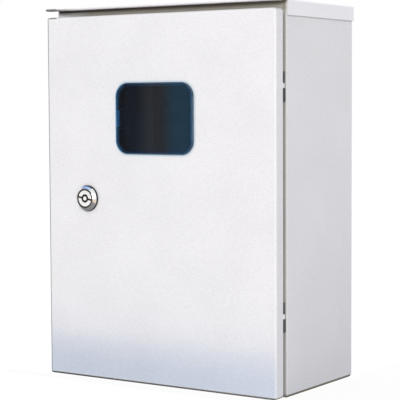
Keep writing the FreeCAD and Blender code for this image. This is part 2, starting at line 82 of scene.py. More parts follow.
# %% Read places from the frame
MM = 0.001
door_low, door_high = (np.array(corner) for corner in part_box("door_panel"))
body_low, body_high = (np.array(corner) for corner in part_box("body_shell"))
hood_low, hood_high = (np.array(corner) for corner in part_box("rain_hood"))
lock_low, lock_high = (np.array(corner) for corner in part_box("lock_housing"))
window_low, window_high = (np.array(corner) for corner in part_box("inspection_window"))
joints = {joint["name"]: joint for joint in frame["joints"]}
lock_axis = np.array(joints["lock_turn"]["pos_m"])
core_radius = lock_axis[0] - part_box("lock_core")[0][0]
door_front = door_low[1]
body_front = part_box("lower_hinge_body_leaf")[1][1]
print("door front at", round(door_front, 4), "body front at", round(body_front, 4))
print("lock axis at", lock_axis)

# %% [markdown]
# ## Shader maths
# A finish is a network of nodes, and a network is hard to read as a list of links. The class below
# wraps one socket, so that `1 - mask * 0.3` adds the Math nodes by itself. Every other node comes
# from one method, which sets the node's own settings before its sockets, because a setting such as
# a data type can change which sockets there are. The last methods are what most finishes need: one
# coordinate of a place, a mix of two colours, and a fade near an edge.

# %% Wrap a socket
class Wire:
    """One output socket of a node tree. Arithmetic adds Math nodes; node() adds any other node."""

    def __init__(self, tree, socket=None):
        self.tree = tree
        self.socket = socket

    def node(self, kind, settings, sockets, output=0):
        """Add a node: settings first, then sockets by name or number, where a Wire becomes a link."""
        made = self.tree.nodes.new("ShaderNode" + kind)
        for name, value in settings.items():
            if name == "stops":
                ramp = made.color_ramp.elements
                while len(ramp) < len(value):
                    ramp.new(1.0)
                for stop, (place, colour) in zip(ramp, value):
                    stop.position = place
                    stop.color = (*colour, 1)
            else:
                setattr(made, name, value)
        for name, value in sockets.items():
            if isinstance(value, Wire):
                self.tree.links.new(value.socket, made.inputs[name])
            else:
                made.inputs[name].default_value = value
        return Wire(self.tree, made.outputs[output]) if made.outputs else None

    def maths(self, operation, first, second, clamp=False):
        return self.node("Math", {"operation": operation, "use_clamp": clamp}, {0: first, 1: second})

    def __add__(self, other):
        return self.maths("ADD", self, other)

    def __radd__(self, other):
        return self.maths("ADD", other, self)

    def __sub__(self, other):
        return self.maths("SUBTRACT", self, other)

    def __rsub__(self, other):
        return self.maths("SUBTRACT", other, self)

    def __mul__(self, other):
        return self.maths("MULTIPLY", self, other)

    def __rmul__(self, other):
        return self.maths("MULTIPLY", other, self)

    def __abs__(self):
        return self.node("Math", {"operation": "ABSOLUTE"}, {0: self})

    def larger(self, other):
        """The larger of this value and another; of two masks, the place that either covers."""
        return self.maths("MAXIMUM", self, other)

    def along(self, axis):
        """One coordinate, X, Y or Z, of this vector."""
        return self.node("SeparateXYZ", {}, {"Vector": self}, axis)

    def colours(self, low, high):
        """Colour from low to high as this value goes from 0 to 1; each is a Wire or three numbers."""
        ends = [end if isinstance(end, Wire) else (*end, 1) for end in (low, high)]
        return self.node("Mix", {"data_type": "RGBA"}, {0: self, 6: ends[0], 7: ends[1]}, 2)

    def steps(self, low, high):
        """This value stretched so that low becomes 0 and high becomes 1, and held to that range."""
        return self.node("MapRange", {}, {"Value": self, "From Min": low, "From Max": high})

    def fade(self, start, end, edge=0.0):
        """0 at start and 1 at end, both in millimetres from an edge, by the same rule as steps."""
        return self.steps(edge + start * MM, edge + end * MM)


print("shader maths ready")

# %% [markdown]
# A finish has one Principled shader. Numbers that are the same all over go straight onto its
# sockets. What varies over the surface could come from a UV map, but it is worked out from Object
# coordinates, which are the part's own metres, so a speckle has its real size on every piece and
# turns with the piece when it moves.

# %% Start a finish
def new_finish(name, **even):
    """Material with one Principled shader, the place of a point, and a function that links sockets.

    Even values are set on the sockets that they name.
    """
    material = bpy.data.materials.new(name)
    material.use_nodes = True
    tree = material.node_tree
    shader = tree.nodes["Principled BSDF"]

    def socket(words):
        return shader.inputs[words.replace("_", " ").title().replace("Ior", "IOR")]

    def vary(**wires):
        for words, wire in wires.items():
            tree.links.new(wire.socket, socket(words))

    for words, value in even.items():
        socket(words).default_value = value
    return material, Wire(tree).node("TexCoord", {}, {}, "Object"), vary


def noise(place, scale, detail=2.0, roughness=0.5):
    """Soft noise from 0 to 1 with about scale lumps to the metre."""
    values = {"Vector": place, "Scale": scale, "Detail": detail, "Roughness": roughness}
    return place.node("TexNoise", {}, values, "Fac")


def bump(height, strength, depth):
    """Normal of a surface whose height from 0 to 1 stands for a depth in metres."""
    return height.node("Bump", {}, {"Height": height, "Strength": strength, "Distance": depth})


finishes = {}
print("finish helpers ready")

# %% [markdown]
# ## Powder coat
# Powder coat is sprayed on dry and melts into one film. Shade is painted into its colour in a few
# places. It could be painted by hand as an image, but masks worked out from coordinates stay sharp
# and need no UV map. The darkest painted shade lies under the overhang of the hood, and starts
# further back towards the right. At the left end, the hood's rounded nose and the cut end of its
# sheet get painted shade too. The way a face points tells the underside from the nose.

# %% Painted shade under the hood
LEFT_NOSE_SHADE_SHARE = 0.45
NOSE_SHADE_SHARE = 0.05
CUT_END_SHADE_SHARE = 0.76


def before_body(y):
    """1 in front of the body: on the door and on the overhang of the hood."""
    return y.fade(1, 0, body_front)


def left_end(x):
    """1 on the first centimetre of the box from the left, fading out over the next few."""
    return x.fade(45, 10, body_low[0])


def rightward(x):
    """0 at the left and 1 at the right, with an even rise between."""
    return x.steps(body_low[0] + 60 * MM, body_high[0] - 60 * MM)


def hood_painted_shade(x, y, z, upward):
    """Painted shade, the largest of three masks: underside behind the nose, nose, and cut left end."""
    overhang = z.fade(3, 4, door_high[2]) * before_body(y)
    behind_nose = (y - rightward(x) * (6 * MM)).fade(8, 11, hood_low[1])
    underside = overhang * upward.steps(-0.3, -0.7) * behind_nose
    left_nose_shade = upward.steps(0.9, 0.3) * LEFT_NOSE_SHADE_SHARE + upward.steps(0.1, -0.6) * LEFT_NOSE_SHADE_SHARE
    nose = overhang * (left_end(x) * left_nose_shade + upward.steps(0.3, -0.4) * NOSE_SHADE_SHARE)
    cut_end = overhang * x.fade(14.5, 12, hood_low[0]) * CUT_END_SHADE_SHARE
    cut_end = cut_end * y.fade(2.4, 1.2, hood_low[1])
    return underside.larger(nose).larger(cut_end)


print("hood overhang:", round((body_front - hood_low[1]) / MM, 1), "mm")

# %% [markdown]
# The flange is the part of the body that shows round the door. Shade is painted along its outer
# edges: in a band below the roof, which narrows to a sharp line at the left, in the gap on the hinge
# side and at the foot. Above the door, under the hood, an olive shade is painted, paler than the
# rest, so the function gives two masks. One mask for both would be shorter, but it couldn't have two
# colours.

# %% Painted shade on the flange
ROOF_BAND_SHARE = 0.86
HINGE_SIDE_SHARE = 0.44
FLANGE_FOOT_SHARE = 0.8
OLIVE_SHADE_SHARE = 0.62


def flange_painted_shade(x, y, z):
    """Painted shade: largest of roof band, hinge side and foot. Olive shade: above the door. On the
    flange.
    """
    face = y.fade(-0.6, -0.2, body_front) * y.fade(0.9, 0.2, body_front)
    face = face * z.fade(-0.1, -0.6, body_high[2])
    wide = (z + rightward(x) * (0.7 * MM)).fade(-4.6, -1.8, body_high[2]) * ROOF_BAND_SHARE
    thin = z.fade(-3.3, -2.5, body_high[2])
    roof_band = wide * (1 - left_end(x)) + thin * left_end(x)
    hinge_side = x.fade(-6.5, -2.5, body_high[0]) * HINGE_SIDE_SHARE
    foot = z.fade(7, 2.5, body_low[2]) * FLANGE_FOOT_SHARE
    # Olive painted shade on the flange above the door, under the hood.
    tint_mask = z.fade(-3, 0, door_high[2]) * OLIVE_SHADE_SHARE * x.fade(12, 45, body_low[0])
    return hinge_side.larger(foot).larger(roof_band) * face, tint_mask * face


print("flange height:", round((body_high[2] - body_low[2]) / MM, 1), "mm")

# %% [markdown]
# A dark line of painted shade outlines a few edges: the foot of the box, the left edge of the door
# with its upper corner, and the joint below the skirt of the hood. A Bevel or Pointiness node would
# find all edges alike. Only a few are shaded here, so each is told by its place.

# %% Painted shade on edges
SKIRT_HEIGHT = 16.0 * MM
BOX_FOOT_SHARE = 0.95
DOOR_EDGE_SHARE = 0.8
DOOR_CORNER_SHARE = 0.75
SKIRT_JOINT_SHARE = 0.22


def edge_painted_shade(x, y, z):
    """Painted shade, the largest of three masks: bends at the foot, door's left edge, skirt's joint."""
    door_bend = y.fade(2.4, 1.8, door_front)
    side_bend = abs(x).fade(-2.4, -1.8, body_high[0])
    foot = z.fade(3.0, 2.3, body_low[2]) * BOX_FOOT_SHARE * door_bend.larger(side_bend)
    left_side = x.fade(2.3, 1.6, door_low[0]) * door_bend * DOOR_EDGE_SHARE
    corner = x.fade(14, 12, door_low[0]) * DOOR_CORNER_SHARE
    corner = corner * z.fade(-1.8, -1.2, door_high[2]) * door_bend
    door_edge = before_body(y) * left_side.larger(corner)
    skirt_foot = hood_high[2] - SKIRT_HEIGHT
    joint = z.fade(-1.5, -0.7, skirt_foot) * z.fade(0.5, 0, skirt_foot)
    joint = joint * abs(x).fade(-0.2, -0.1, body_high[0])
    joint = joint * (1 - before_body(y)) * SKIRT_JOINT_SHARE
    return foot.larger(door_edge).larger(joint)


print("skirt ends at", round(hood_high[2] - SKIRT_HEIGHT, 4))

# %% [markdown]
# Two finishes need to know how far a point lies inside the outline of the window: the window itself,
# whose rim is thinner than its pane, and the paint beside it. The outline is a rectangle with round
# corners. A vertex group could hold the distance, but the CAD meshes stay as they are, so it comes
# from X and Z by the usual rule for such a shape.

# %% Distance inside the window's outline
WINDOW_CORNER = 15.0 * MM


def inside_outline(x, z):
    """Corner radius less the distance from the straight core of a rectangle with round corners."""
    middle = (window_low + window_high) / 2
    core = (window_high - window_low) / 2 - WINDOW_CORNER
    beyond_x = abs(x - middle[0]) - core[0]
    beyond_z = abs(z - middle[2]) - core[2]
    outer_x, outer_z = beyond_x.larger(0.0), beyond_z.larger(0.0)
    around = x.node("Math", {"operation": "SQRT"}, {0: outer_x * outer_x + outer_z * outer_z})
    along = x.maths("MINIMUM", beyond_x.larger(beyond_z), 0.0)
    return WINDOW_CORNER - (around + along)


print("window:", np.round((window_high - window_low) / MM, 1), "mm")

# %% [markdown]
# Seen close, the film of powder has a faint orange peel, is a little uneven in tone, and its gloss
# wanders. One noise of about two millimetres gives the speckle, one of several centimetres the
# drift of the film, and a third the bump. An image of paint would show its repeats on flat sheet.
# Then come layers, each a mask that mixes in one colour: painted light on the skirt of the hood,
# the painted blue light that the window's edge throws on the paint beside it, an olive painted
# shade above the door, and painted shade, which is darkest at the left.

# %% Powder coat
PAINT_DARK, PAINT_LIGHT = (0.739, 0.728, 0.736), (0.879, 0.867, 0.877)
# Colours of the painted shade, from the left to the right.
SHADE_LEFT, SHADE_RIGHT = (0.040, 0.029, 0.013), (0.125, 0.102, 0.064)
# Painted light on the skirt of the hood.
SKIRT_PAINTED_LIGHT, SKIRT_LIGHT_SHARE = (0.92, 0.915, 0.935), 0.85
WINDOW_LIGHT = (0.60, 0.665, 0.715)
OLIVE_SHADE = (0.343, 0.308, 0.19)


def powder_coat():
    material, place, vary = new_finish("powder_coat", ior=1.5)
    x, y, z = (place.along(axis) for axis in "XYZ")
    upward = place.node("NewGeometry", {}, {}, "Normal").along("Z")
    speckle = noise(place, 560, 3.0, 0.75).steps(0.3, 0.7)
    drift = noise(place, 14).steps(0.3, 0.7)
    peel = noise(place, 420)
    # Painted light on the hood's skirt.
    skirt_painted_light = abs(x).fade(0.4, 0.8, body_high[0]) * SKIRT_LIGHT_SHARE
    widened = inside_outline(x, z) + x.fade(14, 7, window_low[0]) * (0.7 * MM)
    beside_window = widened.fade(-2.4, -0.8) * y.fade(0.6, 0.3, door_front)
    flange_shade, tint_mask = flange_painted_shade(x, y, z)
    # Painted shade from the hood, the flange and the edges.
    painted_shade = hood_painted_shade(x, y, z, upward).larger(flange_shade).larger(edge_painted_shade(x, y, z))
    rising = x.steps(body_low[0] + 45 * MM, body_high[0] - 15 * MM)
    shade_colour = rising.colours(SHADE_LEFT, SHADE_RIGHT)
    colour = (speckle * 0.75 + drift * 0.25).colours(PAINT_DARK, PAINT_LIGHT)
    layers = ((skirt_painted_light, SKIRT_PAINTED_LIGHT), (beside_window, WINDOW_LIGHT), (tint_mask, OLIVE_SHADE), (painted_shade, shade_colour))
    for share, layer in layers:
        colour = share.colours(colour, layer)
    vary(base_color=colour, roughness=0.36 + speckle * 0.12 + drift * 0.06 + painted_shade * 0.3,
         normal=bump(peel, 0.3, 0.25 * MM))
    return material


finishes["powder_coat"] = powder_coat()
print("powder coat ready")

# %% [markdown]
# ## Tinted window
# The window is moulded in clear plastic with a blue tint. Light that goes in and comes out again is
# coloured twice, so the edge looks bright blue where white paint lies behind it and nearly black
# where the dark inside of the box does. The pane is thick and dark, the rim is thinner and the
# outer edge of the rim tapers, so the tint weakens towards the outline. Behind the left of the rim
# a snap arm shows as a paler zone between two dark slits: a paler tint paints the light on the arm,
# and a near-black tint paints the shade in the slits. Absorption in the volume could do much of
# this, but it renders slowly and gives one tint to all zones, so the tint is a surface colour.

# %% Tint of the window
PANE_TINT, RIM_TINT, EDGE_TINT = (0.055, 0.095, 0.135), (0.022, 0.065, 0.125), (0.62, 0.86, 1.0)
ARM_LIGHT_TINT, SLIT_SHADE_TINT = (0.10, 0.55, 1.0), (0.010, 0.014, 0.018)


def snap_arm(x, z, inside):
    """Painted light where the left snap arm shows through the rim, painted shade in the slits at its
    ends.
    """
    middle = (window_low + window_high) / 2
    height = abs(z - middle[2])
    in_rim = inside.fade(5.6, 5.2)
    arm = x.fade(0, -1, middle[0]) * in_rim * height.fade(9.0, 8.6)
    slits = in_rim * inside.fade(1.2, 1.6) * height.fade(8.8, 9.0) * height.fade(10.8, 10.6)
    return arm, slits


def window_tint(inside, arm, slits):
    """Pane colour, then the rim, the arm, the slits and the thin outer edge, each mixed over it."""
    tint = inside.fade(5.0, 4.4).colours(PANE_TINT, RIM_TINT)
    edge = inside.fade(1.5, 1.0)
    for share, layer in ((arm, ARM_LIGHT_TINT), (slits, SLIT_SHADE_TINT), (edge, EDGE_TINT)):
        tint = share.colours(tint, layer)
    return tint


print("window tint ready")

# %% [markdown]
# The rim also scatters a little light, as if milky, more at the left and less at the top, and clear
# glass alone can't do that. A small share of matt blue is mixed in there. Cycles doesn't let lamps
# shine through clear plastic without caustics, which are slow and noisy, so lamp rays and soft
# light meet a plain tinted film instead.

# %% Tinted window
MILKY_BLUE = (0.05, 0.2, 0.38, 1)
MILKY_RIM, MILKY_LEFT, CLEARER_TOP = 0.07, 0.12, 0.065
MILKY_LEFT_RIM, MILKY_ARM = 0.15, 0.03
FILM_TINT = (0.67, 0.81, 0.89, 1)


def milky_share(x, z, inside, arm):
    """Share of matt blue: the outer rim by its side, the whole rim at the left, and the arm's zone."""
    at_left = x.fade(14, 7, window_low[0])
    at_top = z.fade(-7, -4, window_high[2])
    outer = inside.fade(3.0, 1.4) * (MILKY_RIM + at_left * MILKY_LEFT - at_top * CLEARER_TOP)
    return outer + at_left * inside.fade(5.4, 3.8) * MILKY_LEFT_RIM + arm * MILKY_ARM


def smoked_plastic():
    material, place, vary = new_finish("smoked_plastic", transmission_weight=1.0, ior=1.58)
    tree = material.node_tree
    x, y, z = (place.along(axis) for axis in "XYZ")
    inside = inside_outline(x, z)
    arm, slits = snap_arm(x, z, inside)
    rough_arm = arm * y.fade(0.5, 1, window_low[1])
    haze = noise(place, 60, 3.0).steps(0.35, 0.75)
    ripple = noise(place, 35, 1.0)
    vary(base_color=window_tint(inside, arm, slits), roughness=0.015 + haze * 0.03 + rough_arm * 0.6,
         normal=bump(ripple, 0.05, 0.2 * MM))
    clear = Wire(tree, tree.nodes["Principled BSDF"].outputs[0])
    milky = place.node("BsdfDiffuse", {}, {"Color": MILKY_BLUE})
    film = place.node("BsdfTransparent", {}, {"Color": FILM_TINT})
    lamp_ray = place.node("LightPath", {}, {}, "Is Shadow Ray")
    soft_ray = place.node("LightPath", {}, {}, "Is Diffuse Ray")
    share = milky_share(x, z, inside, arm)
    plastic = place.node("MixShader", {}, {0: share, 1: clear, 2: milky})
    mixed = place.node("MixShader", {}, {0: lamp_ray.larger(soft_ray), 1: plastic, 2: film})
    tree.links.new(mixed.socket, tree.nodes["Material Output"].inputs["Surface"])
    return material


finishes["smoked_plastic"] = smoked_plastic()
print("tinted window ready")

# %% [markdown]
# ## Metals
# Small steel pieces are zinc plated: bright, slightly cloudy and a little blue, with fine lines
# from a noise that is squeezed along Z. The mounting plate is hot-dip galvanised, and its zinc
# freezes in flat crystals. Noise has no flat patches, so a Voronoi pattern copies those.

# %% Zinc plate and galvanised sheet
LINE_STRETCH = (300.0, 300.0, 3000.0)


def zinc_plate():
    material, place, vary = new_finish("zinc_plate", metallic=1.0)
    cloud = noise(place, 240, 4.0, 0.6).steps(0.3, 0.7)
    lines = noise(place.node("Mapping", {}, {"Vector": place, "Scale": LINE_STRETCH}), 1.0)
    vary(base_color=cloud.colours((0.58, 0.63, 0.68), (0.76, 0.82, 0.88)),
         roughness=0.22 + cloud * 0.14 + lines * 0.06,
         normal=bump(lines, 0.1, 0.05 * MM))
    return material


def galvanised_sheet():
    material, place, vary = new_finish("galvanised_sheet", metallic=1.0)
    wander = noise(place, 90)
    spangle = place.node("TexVoronoi", {}, {"Vector": place, "Scale": 110.0}, "Color")
    facet = place.node("SeparateColor", {}, {"Color": spangle}, "Red")
    tone = facet * 0.7 + wander * 0.3
    vary(base_color=tone.colours((0.47, 0.49, 0.51), (0.72, 0.73, 0.74)),
         roughness=0.3 + facet * 0.2,
         normal=bump(facet, 0.15, 0.05 * MM))
    return material


finishes["zinc_plate"] = zinc_plate()
finishes["galvanised_sheet"] = galvanised_sheet()
print("zinc plate and galvanised sheet ready")

# %% [markdown]
# The lock is chrome over a polished zinc casting, a mirror with faint smears. Its core is turned,
# so it has fine rings round its axis, which a sine of the radius draws. The recess and the groove
# are darkened with painted shade. That is only a change of colour, told by the distance from the
# lock's axis and by the depth behind the face.

# %% Chrome and turned steel
RING_PITCH = 0.25 * MM


def from_lock(place):
    """Offset of a point from the lock's own point on its axis, as a vector."""
    return place.node("VectorMath", {"operation": "SUBTRACT"}, {0: place, 1: tuple(lock_axis)})


def from_lock_axis(place):
    """Distance of a point from the axis of the lock: the length of its offset with Y taken out."""
    flat = {0: from_lock(place), 1: (1.0, 0.0, 1.0)}
    across = place.node("VectorMath", {"operation": "MULTIPLY"}, flat)
    return place.node("VectorMath", {"operation": "LENGTH"}, {0: across}, "Value")


def lock_chrome():
    material, place, vary = new_finish("lock_chrome")
    smear = noise(place, 320, 3.0).steps(0.35, 0.75)
    # Dark painted shade in the recess round the core.
    in_recess = from_lock_axis(place).fade(2.2, 1.9, core_radius)
    recess_shade = in_recess * place.along("Y").fade(7, 5, lock_low[1])
    bright = smear.colours((0.80, 0.81, 0.83), (0.88, 0.88, 0.89))
    vary(base_color=recess_shade.colours(bright, (0.115, 0.100, 0.088)),
         roughness=0.05 + smear * 0.07 + recess_shade * 0.4, metallic=1 - recess_shade * 0.8,
         normal=bump(noise(place, 900, 1.0), 0.03, 0.05 * MM))
    return material


def lock_steel():
    material, place, vary = new_finish("lock_steel")
    core_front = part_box("lock_core")[0][1]
    phase = from_lock_axis(place) * (2 * math.pi / RING_PITCH)
    rings = place.node("Math", {"operation": "SINE"}, {0: phase})
    # Dark brown painted shade behind the core's face, in its groove and slits.
    recess_shade = place.along("Y").fade(0.2, 1.2, core_front)
    bright = noise(place, 500, 3.0).colours((0.90, 0.89, 0.87), (0.97, 0.96, 0.95))
    vary(base_color=recess_shade.colours(bright, (0.060, 0.036, 0.018)),
         roughness=0.16 + recess_shade * 0.4, metallic=1 - recess_shade * 0.7,
         normal=bump(rings, 0.1, 0.02 * MM))
    return material


finishes["lock_chrome"] = lock_chrome()
finishes["lock_steel"] = lock_steel()
print("chrome and turned steel ready")

# %% [markdown]
# The hinge leaves are blued steel that the paint doesn't reach, a neutral dark grey in patches. The
# lock's ring and the gasket are black cellular rubber, matt and full of fine pores, which a Voronoi
# pattern gives better than noise because each pore is round. The lock's ring is paler towards its
# upper left. The seal under the rim of the window is grey silicone, which shows through the rim as a
# band a little paler than the pane.

# %% Hinge steel and rubber
PALE_SIDE = (-0.75, 0.0, 0.66)


def hinge_steel():
    material, place, vary = new_finish("hinge_steel", metallic=0.6)
    patch = noise(place, 380, 4.0, 0.6).steps(0.3, 0.7)
    vary(base_color=patch.colours((0.032, 0.033, 0.038), (0.085, 0.084, 0.086)),
         roughness=0.42 + patch * 0.2,
         normal=bump(patch, 0.1, 0.05 * MM))
    return material


def seal_rubber():
    material, place, vary = new_finish("seal_rubber", specular_ior_level=0.3)
    cells = place.node("TexVoronoi", {}, {"Vector": place, "Scale": 1400.0}, "Distance")
    pores = cells.steps(0.1, 0.6)
    sides = {0: from_lock(place), 1: PALE_SIDE}
    aside = place.node("VectorMath", {"operation": "DOT_PRODUCT"}, sides, "Value")
    # Paler towards the upper left of the lock's ring.
    tint_mask = aside.fade(3, 12) * from_lock_axis(place).fade(16, 15) * 0.8
    rubber = pores.colours((0.012, 0.012, 0.013), (0.036, 0.036, 0.038))
    vary(base_color=tint_mask.colours(rubber, (0.60, 0.59, 0.59)), roughness=0.68 + pores * 0.2,
         normal=bump(pores, 0.25, 0.2 * MM))
    return material


def grey_silicone():
    material, place, vary = new_finish("grey_silicone")
    cloud = noise(place, 200)
    vary(base_color=cloud.colours((0.12, 0.12, 0.16), (0.19, 0.19, 0.23)),
         roughness=0.35 + cloud * 0.2)
    return material


finishes["hinge_steel"] = hinge_steel()
finishes["seal_rubber"] = seal_rubber()
finishes["grey_silicone"] = grey_silicone()
print("hinge steel and rubber ready")

# %% [markdown]
# The record says which finish each CAD node takes, so no list of nodes is kept here. Only the
# material slot of a node changes; its mesh stays as it came.

# %% Dress the CAD nodes
for subpart in frame["record"]["subparts"]:
    nodes[subpart["node"]].material_slots[0].material = finishes[subpart["material_slot"]]

# %% [markdown]
# ## From points to pieces
# A mesh made from points isn't finished yet. Its doubles are merged, its normals turned outwards,
# and edges that turn by more than a set angle marked sharp. Operators from the menus do that too,
# but they depend on the mode and the selection, and bmesh doesn't. The object then rides on the
# body that carries it and stands in for the CAD nodes it replaces.

# %% Finish a mesh as a piece
MERGE_DISTANCE = 0.5e-6


def piece(name, mesh, finish, body, replaced, sharp):
    """Object from a mesh: closed, facing outwards, dressed, riding on a body, replacing CAD nodes."""
    work = bmesh.new()
    work.from_mesh(mesh)
    bmesh.ops.remove_doubles(work, verts=work.verts, dist=MERGE_DISTANCE)
    bmesh.ops.recalc_face_normals(work, faces=work.faces)
    work.to_mesh(mesh)
    work.free()
    mesh.shade_smooth()
    mesh.set_sharp_from_angle(angle=math.radians(sharp))
    mesh.materials.append(finishes[finish])
    made = bpy.data.objects.new(name, mesh)
    bpy.context.scene.collection.objects.link(made)
    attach(made, body)
    if replaced:
        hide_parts(*replaced)
    print(name, "faces:", len(mesh.polygons))


print("mesh finisher ready")

# %% [markdown]
# A turned, threaded or hexagonal piece is one grid of points: a profile gives radius and height in
# rows, and each row goes once round an axis in columns. A Screw modifier turns a profile too, but
# it can't cut flats or a hexagon. With whole arrays there is no loop over points. Where a row
# shrinks to a point, its columns fall together and are merged, which closes it.

# %% Grid and profile helpers
def fill(corners, step):
    """Points along straight lines from corner to corner, evenly spaced and at most a step apart."""
    corners = np.array(corners, float)
    runs = []
    for start, end in zip(corners[:-1], corners[1:]):
        count = max(1, math.ceil(np.linalg.norm(end - start) / step))
        runs.append(start + (end - start) * np.arange(count)[:, None] / count)
    return np.vstack(runs + [corners[-1:]])


def turned(profile, columns):
    """Even angles once round, and the profile's radii and heights repeated at every angle."""
    turn = np.linspace(0, 2 * math.pi, columns, endpoint=False)
    radii = np.repeat(profile[:, :1], columns, axis=1)
    heights = np.repeat(profile[:, 1:], columns, axis=1)
    return turn, radii, heights


def round_axis(radii, heights, turn, base, axis):
    """base + height * axis + radius * (cos(turn) * side + sin(turn) * across), for rows and columns."""
    axis = np.array(axis, float)
    side = np.array((1.0, 0.0, 0.0))
    across = np.cross(axis, side)
    around = np.cos(turn)[:, None] * side + np.sin(turn)[:, None] * across
    return np.array(base) + heights[..., None] * axis + radii[..., None] * around


def skins(name, grids, finish, body, replaced=(), closed=True, sharp=35):
    """One object from grids of points. Columns close on themselves, and rows do where closed is true."""
    points, faces, offset = [], [], 0
    for grid in grids:
        rows, columns, _ = grid.shape
        index = np.arange(rows * columns).reshape(rows, columns) + offset
        below = np.roll(index, -1, axis=0) if closed else index[1:]
        above = index if closed else index[:-1]
        quads = [above, np.roll(above, -1, axis=1), np.roll(below, -1, axis=1), below]
        points.append(grid.reshape(-1, 3))
        faces.append(np.stack(quads, axis=-1).reshape(-1, 4))
        offset += rows * columns
    mesh = bpy.data.meshes.new(name)
    mesh.from_pydata(np.vstack(points).tolist(), [], np.vstack(faces).tolist())
    piece(name, mesh, finish, body, replaced, sharp)


INWARD, OUTWARD, UPWARD = (0, 1, 0), (0, -1, 0), (0, 0, 1)
print("grid helpers ready")

# %% [markdown]
# ## Lock housing
# Two shapes on the lock need a rule of their own. The bezel's front is a taper that swells a little,
# as a polished casting does, and a parabola over the straight line is the simplest swell. The thread
# could be a swept helix, but as a cut in the radius it needs no mesh of its own and never tangles.

# %% Dome and thread
def dome(start, end, bulge, count):
    """Straight taper from start to end, pushed outwards by a parabola that is highest half way."""
    share = np.linspace(0, 1, count)[:, None]
    along = np.array(end) - np.array(start)
    outward = np.array((along[1], -along[0])) / np.linalg.norm(along)
    return np.array(start) + share * along + 4 * share * (1 - share) * bulge * outward


def thread(heights, turn, pitch, depth):
    """Cut of a V thread: a triangle wave of the height that shifts by one pitch in each turn."""
    wave = np.mod(heights / pitch - turn / (2 * math.pi), 1.0)
    return depth * np.abs(2 * wave - 1)


print("dome and thread ready")

# %% [markdown]
# On the real lock a domed chrome bezel and a threaded barrel are one casting. The barrel has two
# flats that keep it from turning in the door. Booleans could cut them, but they leave ragged faces
# on a thread. Here the profile runs from the face over the dome, back along the barrel and forward
# again through the bore, so the skin closes on itself, and the flats come from a plain rule: no
# point of the barrel lies further from the axis plane than half the flats.

# %% Lock housing
RECESS_RADIUS = core_radius + 1.3 * MM
FACE_RADIUS = RECESS_RADIUS + 0.6 * MM
RECESS_DEPTH = 4.8 * MM
BORE_RADIUS = 6.05 * MM
BARREL_RADIUS = 9.8 * MM
HALF_FLATS = 8.8 * MM
BEZEL_RADIUS = 13.8 * MM
BEZEL_BULGE = 0.14 * MM
SEAL_THICKNESS = 2.3 * MM
BARREL_PITCH = 1.25 * MM
EASE = 0.25 * MM


def lock_housing():
    """Rows go round the profile (radius, distance behind the face); columns go round the axis."""
    bezel_back = door_front - lock_low[1] - SEAL_THICKNESS
    barrel_end = lock_high[1] - lock_low[1]
    front = fill([(RECESS_RADIUS + EASE / 2, 0), (FACE_RADIUS - EASE, 0), (FACE_RADIUS, EASE)], 0.3 * MM)
    taper = dome((FACE_RADIUS, EASE), (BEZEL_RADIUS, bezel_back - 2 * EASE), BEZEL_BULGE, count=24)
    back = fill([(BEZEL_RADIUS, bezel_back - EASE), (BEZEL_RADIUS - EASE, bezel_back),
                 (BARREL_RADIUS, bezel_back), (BARREL_RADIUS, barrel_end - EASE),
                 (BARREL_RADIUS - EASE, barrel_end), (BORE_RADIUS, barrel_end),
                 (BORE_RADIUS, RECESS_DEPTH), (RECESS_RADIUS, RECESS_DEPTH),
                 (RECESS_RADIUS, EASE / 2)], BARREL_PITCH / 6)
    turn, radii, heights = turned(np.vstack([front[:-1], taper, back]), columns=128)
    barrel = (heights > bezel_back + 0.1 * MM) & (radii > BORE_RADIUS + 0.1 * MM)
    cut = thread(heights, turn, BARREL_PITCH, depth=0.6 * MM)
    flat = HALF_FLATS / np.maximum(np.abs(np.cos(turn)), 1e-6)
    radii = np.where(barrel, np.minimum(radii, np.minimum(BARREL_RADIUS - cut, flat)), radii)
    return round_axis(radii, heights, turn, (lock_axis[0], lock_low[1], lock_axis[2]), INWARD)


skins("lock_bezel_and_barrel", [lock_housing()], "lock_chrome", "door", ["lock_housing"])

# %% [markdown]
# A thin rubber ring lies between bezel and door and shows as a dark line round the lock. A torus is
# too round for it. Its section is a rounded rectangle, which a power of sine and cosine draws
# without any corner cases.

# %% Lock seal
SECTION_POWER = 0.4


def squared(wave):
    """A sine or cosine raised to a power below 1 with its sign kept, which fills out the corners."""
    return np.sign(wave) * np.abs(wave) ** SECTION_POWER


def lock_seal():
    """Section: half width * squared cosine and half thickness * squared sine, round the axis."""
    inner = BARREL_RADIUS + 0.3 * MM
    outer = (lock_high[0] - lock_low[0]) / 2 + 0.1 * MM
    spin = np.linspace(0, 2 * math.pi, 24, endpoint=False)
    widths = (inner + outer) / 2 + (outer - inner) / 2 * squared(np.cos(spin))
    levels = -SEAL_THICKNESS / 2 + SEAL_THICKNESS / 2 * squared(np.sin(spin))
    turn, radii, heights = turned(np.stack([widths, levels], axis=-1), columns=96)
    return round_axis(radii, heights, turn, (lock_axis[0], door_front, lock_axis[2]), INWARD)


skins("lock_seal_ring", [lock_seal()], "seal_rubber", "door", sharp=60)

# %% [markdown]
# ## Nuts and studs
# A nut is a hexagonal bar whose corners a lathe has cut down to a cone. A cylinder with six sides
# lacks the curved line where cone and flats meet. So the radius is the smaller of two rules: the
# hexagon for this direction and the cone for this height.

# %% Nuts
STUD_RADIUS = 3.0 * MM
NUT_FLATS = 10.0 * MM
NUT_HEIGHT = 5.0 * MM
CONE_SLOPE = 0.45


